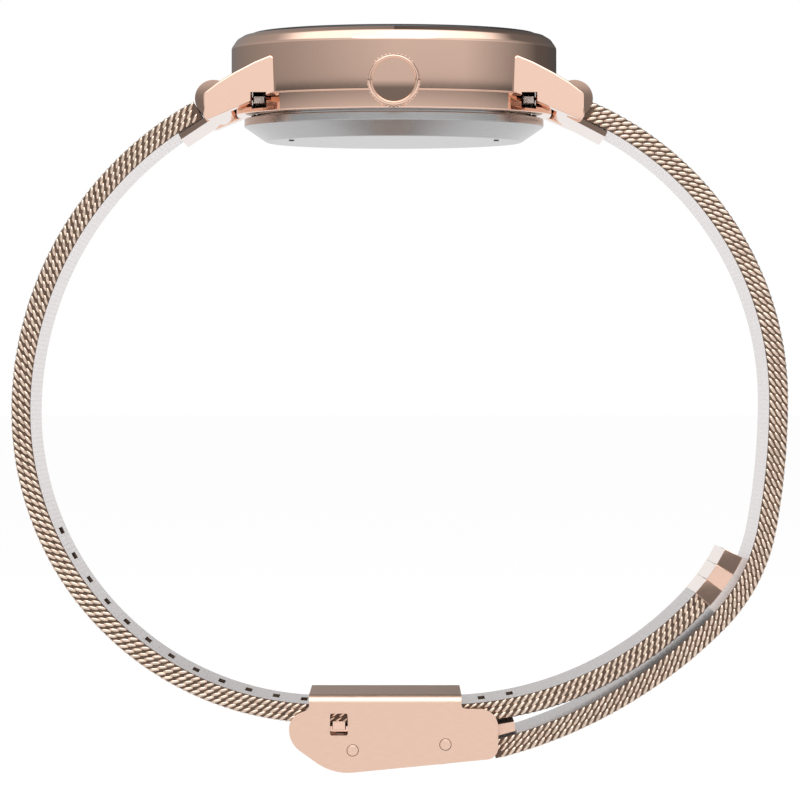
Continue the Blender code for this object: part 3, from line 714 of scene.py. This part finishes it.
def tones_by(tree, value, low, high, marks):
    """Tones along a measured value, each mark a (value, tone)."""
    level = tree.nodes.new("ShaderNodeMapRange")
    level.inputs["From Min"].default_value = low
    level.inputs["From Max"].default_value = high
    tree.links.new(value, level.inputs["Value"])
    shade = tree.nodes.new("ShaderNodeValToRGB")
    ramp = shade.color_ramp.elements
    spots = [((at - low) / (high - low), tone) for at, tone in marks]
    for mark, (at, tone) in zip((ramp[0], ramp[1]), (spots[0], spots[-1])):
        mark.position = at
        mark.color = (tone, tone, tone, 1)
    for at, tone in spots[1:-1]:
        ramp.new(at).color = (tone, tone, tone, 1)
    tree.links.new(level.outputs["Result"], shade.inputs["Fac"])
    return shade.outputs["Color"]


def paper_of(card, name):
    """Hide a card from all but reflections and give it a paper that glows."""
    card.name = name
    paper, tree, shader = shader_of(name)
    place = tree.nodes.new("ShaderNodeTexCoord")
    split = tree.nodes.new("ShaderNodeSeparateXYZ")
    tree.links.new(place.outputs["Object"], split.inputs["Vector"])
    light = tree.nodes.new("ShaderNodeEmission")
    tree.links.new(light.outputs["Emission"], tree.nodes["Material Output"].inputs["Surface"])
    card.data.materials.append(paper)
    card.visible_camera = False
    card.visible_shadow = False
    card.visible_diffuse = False
    return tree, split, light


def blend(tree, operation, first, second):
    node = tree.nodes.new("ShaderNodeVectorMath")
    node.operation = operation
    tree.links.new(first, node.inputs[0])
    tree.links.new(second, node.inputs[1])
    return node.outputs["Vector"]


AROUND_TONES = ((-180, 0.15), (-75, 0.40), (0, 0.68), (50, 0.68), (120, 0.12), (180, 0.05))
LEVEL_TONES = ((0.03, 0.0), (0.042, 0.2), (0.0585, 0.2), (0.0605, 0.66), (0.08, 0.7), (0.115, 1.0))
LOW_TONES = ((0.025, 0.57), (0.045, 0.0))
TENT_RADIUS, TENT_STRENGTH = 0.9, 1.6
HIGH_TONES = ((0.55, 0.0), (0.68, 0.72))
FRONT_TONES = ((0.05, 1.0), (0.35, 0.03))
begin()
bpy.ops.mesh.primitive_uv_sphere_add(segments=96, ring_count=48, radius=TENT_RADIUS)
tree, split, light = paper_of(bpy.context.object, "studio_tent")
light.inputs["Strength"].default_value = TENT_STRENGTH
ahead = tree.nodes.new("ShaderNodeMath")
ahead.operation = "MULTIPLY"
ahead.inputs[1].default_value = -1.0
tree.links.new(split.outputs["Y"], ahead.inputs[0])
around = tree.nodes.new("ShaderNodeMath")
around.operation = "ARCTAN2"
tree.links.new(split.outputs["X"], around.inputs[0])
tree.links.new(ahead.outputs["Value"], around.inputs[1])
side_tone = tones_by(tree, around.outputs["Value"], -math.pi, math.pi,
                     [(math.radians(at), tone) for at, tone in AROUND_TONES])
height = split.outputs["Z"]
wall_tone = blend(tree, "MULTIPLY", side_tone, tones_by(tree, height, 0.02, 0.12, LEVEL_TONES))
low_tone = blend(tree, "ADD", wall_tone, tones_by(tree, height, 0.0, 0.06, LOW_TONES))
roof_tone = blend(tree, "MULTIPLY", tones_by(tree, height, 0.4, 0.9, HIGH_TONES),
                  tones_by(tree, split.outputs["Y"], 0.0, 0.5, FRONT_TONES))
tent_tone = blend(tree, "ADD", low_tone, roof_tone)
tree.links.new(tent_tone, light.inputs["Color"])


def softbox(name, place, aim, size, power, shown=False):
    lamp = bpy.data.lights.new(name, "AREA")
    lamp.shape = "RECTANGLE"
    lamp.size, lamp.size_y = size
    lamp.energy = power
    box = bpy.data.objects.new(name, lamp)
    bpy.context.scene.collection.objects.link(box)
    box.location = place
    box.visible_glossy = shown
    box.rotation_euler = (Vector(aim) - Vector(place)).to_track_quat("-Z", "Y").to_euler()


softbox("key_left", (-0.5, -0.5, 0.45), (0, 0, -0.03), (0.35, 0.35), 4.5)
softbox("fill_right", (0.6, -0.4, 0.15), (0, 0, -0.03), (0.25, 0.5), 3.0)
softbox("top", (0.0, 0.05, 0.7), (0, 0, -0.03), (0.5, 0.5), 3.5)
softbox("front_high", (0.0, -0.6, 0.55), (0, 0, -0.03), (0.9, 0.5), 2.2, True)

# Camera

eye = bpy.data.cameras.new("photo_camera")
eye.lens = 230.0
eye.sensor_width = 36.0
eye.clip_start = 0.01
camera = bpy.data.objects.new("photo_camera", eye)
bpy.context.scene.collection.objects.link(camera)
camera.location = (0.00067, -0.570, -0.0287)
camera.rotation_euler = (math.pi / 2, 0, 0)
bpy.context.scene.camera = camera
bpy.context.scene.view_settings.view_transform = "Standard"
